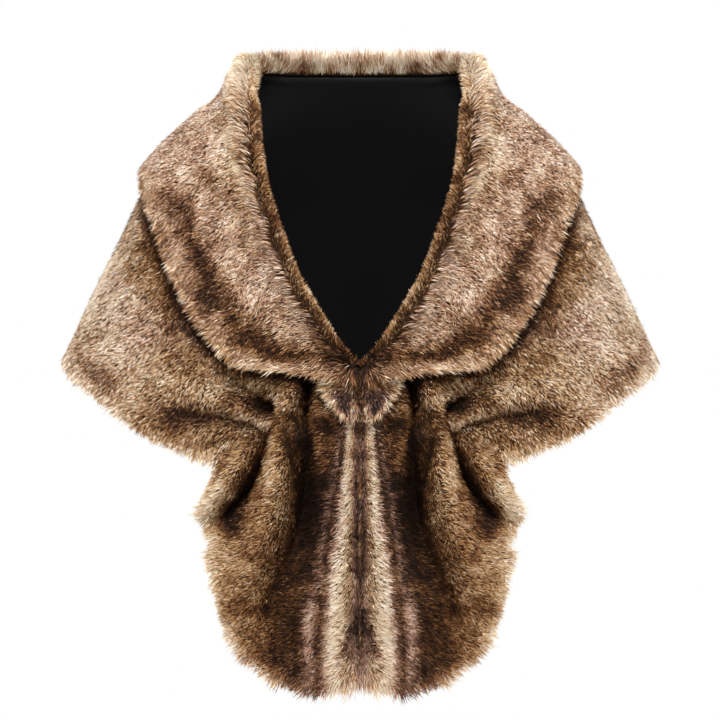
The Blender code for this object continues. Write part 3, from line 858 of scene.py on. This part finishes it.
# The stripes of the cloth beside the centre front, across its width at STRIPES_HEIGHT. From the grey one
# outwards they spread apart downwards.
STRIPES = (
    Stripe("turned edge", 3, 0.62, 0.0),
    Stripe("dark line", 6, 0.28, 0.9),
    Stripe("grey line", 9, 0.42, 1.0),
    Stripe("grey line's outer side", 13, 0.55, 0.4),
    Stripe("cream, inner side", 17, 0.7, 0.15),
    Stripe("cream", 22, 0.86, 0.2),
    Stripe("cream, outer side", 26, 0.78, 0.5),
    Stripe("pink", 30, 0.5, 0.9),
    Stripe("russet", 33, 0.36, 0.5),
    Stripe("brown", 37, 0.26, 0.3),
    Stripe("mauve", 42, 0.46, 0.95),
    Stripe("dark", 51, 0.28, 0.2),
    Stripe("plain", 75, 0.42, 0.06),
)
STRIPES_HEIGHT = -545
STRIPES_MEET = 8  # the stripes are closest to this place, and spread from it
STRIPES_SPREAD = 220
TAIL_DABS = (
    # The dark middle is painted shade lower down the deep valley.
    Dab("dark middle", 76, -588, 24, 30, 0, -0.14, -0.1),
    Dab("dark lower middle", 92, -640, 42, 32, 0, -0.2, -0.1),
    Dab("brown lower edge", 90, -690, 50, 14, 10, -0.08, 0.1),
    Dab("mauve line", 56, -640, 42, 7, 88, 0.2, 0.5),
    Dab("pale side edge", 164, -545, 14, 50, 0, 0.1, 0),
    Dab("pale lower side edge", 138, -662, 16, 16, 0, 0.12, 0),
    Dab("pale pillar", 100, -466, 14, 60, -15, 0.2, -0.2),
    Dab("pale corner lobe", 166, -490, 20, 26, 0, 0.26, -0.1),
    # Painted shade under the corner lobe, in the side valley and in the crease of the pillar.
    Dab("dark under the lobe", 146, -520, 14, 22, 0, -0.28, 0.2),
    Dab("side valley", 126, -471, 34, 11, -68, -0.3, 0),
    Dab("crease in the pillar", 80, -450, 30, 3, 80, -0.4, 0),
    Dab("dark core", 0, -492, 9, 26, 0, -0.2, 0.2),
    # Painted shade in the deep valley.
    Dab("deep valley", 58, -496, 16, 60, 0, -0.28, -0.2),
    Dab("dark beside the cream", 42, -494, 14, 50, 5, -0.24, 0),
    # Painted shade, greyish, below the tab's corner and in the hollow under the puff, and painted shadow
    # beside the tab.
    Dab("dark below the tab's corner", 55, -432, 6, 20, 0, -0.34, 0),
    Dab("grey hollow under the puff", 69, -422, 8, 16, 0, -0.2, 0.5),
    Dab("dark beside the tab", 36, -412, 8, 8, 0, -0.42, -0.1),
    Dab("cream begins", 18, -440, 14, 26, 0, -0.2, 0),
    Dab("dark line spreads", 12, -655, 34, 4, -74, -0.34, 0.7),
    Dab("pale foot", 0, -708, 15, 13, 0, 0.4, -0.2),
)
TAIL_HAIRS = 55000  # on each tail
ribs = gather_meridians(90)
down_tail = np.linspace(0, 1, 91)
tails = [trimmed(tail_grid(ribs, down_tail, depth), FREE_TRIM, "bottom") for depth in GROUND_FACES]
for side, word in SIDES:
    grids = tails if side > 0 else [mirrored(grid) for grid in tails]
    tail = cloth(f"tail_{word}_ground", *coarse(grids), (fur_ground, satin))
    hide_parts(f"tail_{word}")
    random = np.random.default_rng(41 + side)
    # The pile is thicker along the free edge and above it, and most of all at the centre front.
    thick = np.ones(tails[0].shape[:2])
    thick[:, -7:] *= 1.6
    thick[:, -24:-7] *= 1.7
    thick[-6:] *= 3
    roots = scatter(tails[0], TAIL_HAIRS, random, thick)
    x, z = roots.place[:, 0], roots.place[:, 2]
    edge = bump(roots.from_bottom, 12)
    lean = bump(x, 5)
    lay = (0.9, 0, -0.3) + roots.down * (0.05 + 1.5 * edge)[:, None]
    lay = turned(lay, (-0.7, 0, -0.8), lean)

    # The dye of a hair goes by where its tip comes, a little further out.
    tip = x + 4.5 * (1 - lean)
    spread = np.clip(1 + (STRIPES_HEIGHT - z) / STRIPES_SPREAD, 0.35, 1.5)
    stripe = np.where(tip > STRIPES_MEET, STRIPES_MEET + (tip - STRIPES_MEET) / spread, tip)
    stripe = stripe + 4 * cloudy(roots.place, 12, 14)
    stripes = np.array([row[1:] for row in STRIPES])
    tone, hue = (np.interp(stripe, stripes[:, 0], column) for column in stripes[:, 1:].T)
    mottle = 0.2 * cloudy(roots.place, 34, 12) + 0.3 * cloudy(roots.place, 12, 13)
    tone += mottle * np.clip(1.6 - 1.4 * tone, 0, 1)
    # Paler along the free edge, and painted shade in the valleys of the folds.
    tone += 0.22 * edge * (x > 60) - 0.34 * in_valleys(roots.place)
    shade_change, hue_change = dyed(roots.place, TAIL_DABS)
    tone, hue = tone + shade_change, hue + hue_change

    # The hair hangs in tufts from the edge, and longest at its foot by the centre front.
    cream = rising(tone, 0.5, 0.25)
    foot = bump(x, 22, roots.from_bottom, 14)
    lowest = edge * rising(-z, 650, 40)
    tufts = 12 * edge * (cloudy(roots.place, 16, 16) + 0.15)
    lay = turned(lay, (0.1, 0, -1), foot)
    length = 8.5 + tufts + 3 * (lean + cream) + 8 * foot + 4 * lowest
    rise = 0.5 - 0.25 * edge - 0.3 * lean - 0.35 * cream
    name = f"tail_{word}_pile"
    tail_pile = pile(name, roots, lay, length, rise, tone, hue, random, side, width=0.8, streak=0.72)

# ---------------------------------------------------------------- tabs
# Two short fur tongues below the collar's ends, one on each side, which cover the fastening.

TabRow = namedtuple("TabRow", "height outer lift")
TAB = (
    TabRow(-360, 38, 7.5),
    TabRow(-367, 41, 8),
    TabRow(-377, 37, 9),
    TabRow(-388, 30, 9.5),
    TabRow(-398, 24, 9),
    TabRow(-404, 15, 9),
)
TAB_INNER = 1.5  # from the middle plane to each tab's inner edge
TAB_TRIM = 4
TAB_POINTS = 21  # each way
TAB_HAIRS = 3500  # on each tab


def tab_grid(rows, shares, depth):
    """Points of a fastening tab, a short tongue that narrows downwards, depth inside its outer face."""
    at, share = np.meshgrid(rows, shares, indexing="ij")
    height, outer, lift = np.moveaxis(along(TAB, at), -1, 0)
    across = outer - share * (outer - TAB_INNER)
    return on_form(azimuth_of(across, height), height, lift - depth).swapaxes(0, 1)


tab_rows, across_tab = np.linspace(0, len(TAB) - 1, TAB_POINTS), np.linspace(0, 1, TAB_POINTS)
tabs = [tab_grid(tab_rows, across_tab, depth) for depth in GROUND_FACES]
tabs = [trimmed(trimmed(grid, TAB_TRIM, "first"), TAB_TRIM, "bottom") for grid in tabs]
for side, word in SIDES:
    grids = tabs if side > 0 else [mirrored(grid) for grid in tabs]
    tab = cloth(f"tab_{word}_ground", *grids, (fur_ground, satin))
    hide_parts(f"tab_{word}")
    random = np.random.default_rng(51 + side)
    roots = scatter(tabs[0], TAB_HAIRS, random)
    x, z = roots.place[:, 0], roots.place[:, 2]
    # The hair fans out from the top by the middle. It is pale at the rim and dark within.
    lay = (roots.place - (6, 0, -362)) * (1, 0, 1)
    rim = bump(roots.row, 0.16) + bump(1 - roots.column, 0.1)
    rim = np.clip(rim, 0, 1) * (1 - bump(x, 11))
    top = rising(z, -378, 12)
    middle = bump(x, 5)
    cream_mark = bump(x - 8, 3, z + 390, 9)
    mottle = 0.2 * cloudy(roots.place, 9, 15)
    tone = 0.19 + mottle + 0.42 * rim + 0.2 * top - 0.14 * middle + 0.5 * cream_mark
    hue = 1 - 0.9 * np.maximum(top, middle) - 0.8 * rim - 0.7 * cream_mark
    length, rise = 11 + 4 * rim, 0.4 - 0.2 * rim
    tab_pile = pile(f"tab_{word}_pile", roots, lay, length, rise, tone, hue, random, side)

# ---------------------------------------------------------------- lining
# Black satin, one back and two fronts, sewn in at the neck seam and hanging just inside the fur.

LINING_FOLDS = (
    Fold("behind the gather", (222, -396), (130, -396), (40, -376), 34, 34, -8, -21, -26),
)
LINING_FACES = 4.6, 5.2  # inside the solids' outer faces
LINING_TRIM = 3  # at the back's hem, which the fur hangs below
lining_backs, lining_fronts = [], []
for depth in LINING_FACES:
    left, right = (body_grid(back_lines, shares, side, LINING_FOLDS, depth) for side in (1, -1))
    lining_backs.append(trimmed(np.concatenate([mirrored(right)[:-1], left]), LINING_TRIM, "bottom"))
    lining_fronts.append(body_grid(front_lines, shares, 1, LINING_FOLDS, depth))
Lining = namedtuple("Lining", "name grids flat area rests_on")
LININGS = (
    Lining("lining_back", lining_backs, (0.78, 0.46), 0.29, "back"),
    Lining("lining_front_left", lining_fronts, (0.35, 0.42), 0.1, "front_left"),
    Lining("lining_front_right", [*map(mirrored, lining_fronts)], (0.35, 0.42), 0.1, "front_right"),
)
for row in LININGS:
    lining = cloth(row.name + "_satin", *coarse(row.grids), (satin,))
    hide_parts(row.name)

# ---------------------------------------------------------------- floor, light and camera
# A pale studio: a floor well below, white surroundings, a broad key light high in front, two fills and a
# soft light behind.

bpy.ops.mesh.primitive_circle_add(vertices=96, radius=1.9, fill_type="NGON", location=(0, 0, -0.95))
floor = bpy.context.object
floor.name = "studio_floor"
floor_paint, shader = new_material("Pale floor", "#F2F2F0", 0.7)
floor.data.materials.append(floor_paint)

Lamp = namedtuple("Lamp", "name place aim size power")
LAMPS = (
    Lamp("key", (0.0, -2.0, 2.2), (0, 0, -0.35), 1.0, 150),
    Lamp("fill_left", (-2.4, -1.8, 0.4), (0, 0, -0.35), 1.0, 26),
    Lamp("fill_right", (2.4, -1.8, 0.4), (0, 0, -0.35), 1.0, 26),
    Lamp("back", (0.0, 2.6, 0.9), (0, 0, -0.3), 1.6, 70),
)
for lamp in LAMPS:
    data = bpy.data.lights.new(lamp.name, "AREA")
    data.size, data.energy = lamp.size, lamp.power
    obj = bpy.data.objects.new(lamp.name, data)
    bpy.context.scene.collection.objects.link(obj)
    obj.location = lamp.place
    aim = Vector(np.array(lamp.aim) - lamp.place)
    obj.rotation_euler = aim.to_track_quat("-Z", "Y").to_euler()

world = bpy.data.worlds.new("White surroundings")
bpy.context.scene.world = world
world.use_nodes = True
backdrop = world.node_tree.nodes["Background"]
backdrop.inputs["Color"].default_value = (1, 1, 1, 1)
# The surroundings are white to the camera, and light the cloth only a third as strongly.
path = world.node_tree.nodes.new("ShaderNodeLightPath")
strength = world.node_tree.nodes.new("ShaderNodeMapRange")
strength.inputs["To Min"].default_value = 0.34
strength.inputs["To Max"].default_value = 1.0
world.node_tree.links.new(path.outputs["Is Camera Ray"], strength.inputs["Value"])
world.node_tree.links.new(strength.outputs["Result"], backdrop.inputs["Strength"])
bpy.context.scene.view_settings.view_transform = "Standard"

# A long lens from far off, level with the capelet's middle.
lens = bpy.data.cameras.new("camera")
lens.sensor_width = 36
lens.lens = 258.6
camera = bpy.data.objects.new("camera", lens)
camera.location = (0, -6.1, -0.339)
camera.rotation_euler = (np.pi / 2, 0, 0)
bpy.context.scene.collection.objects.link(camera)
bpy.context.scene.camera = camera
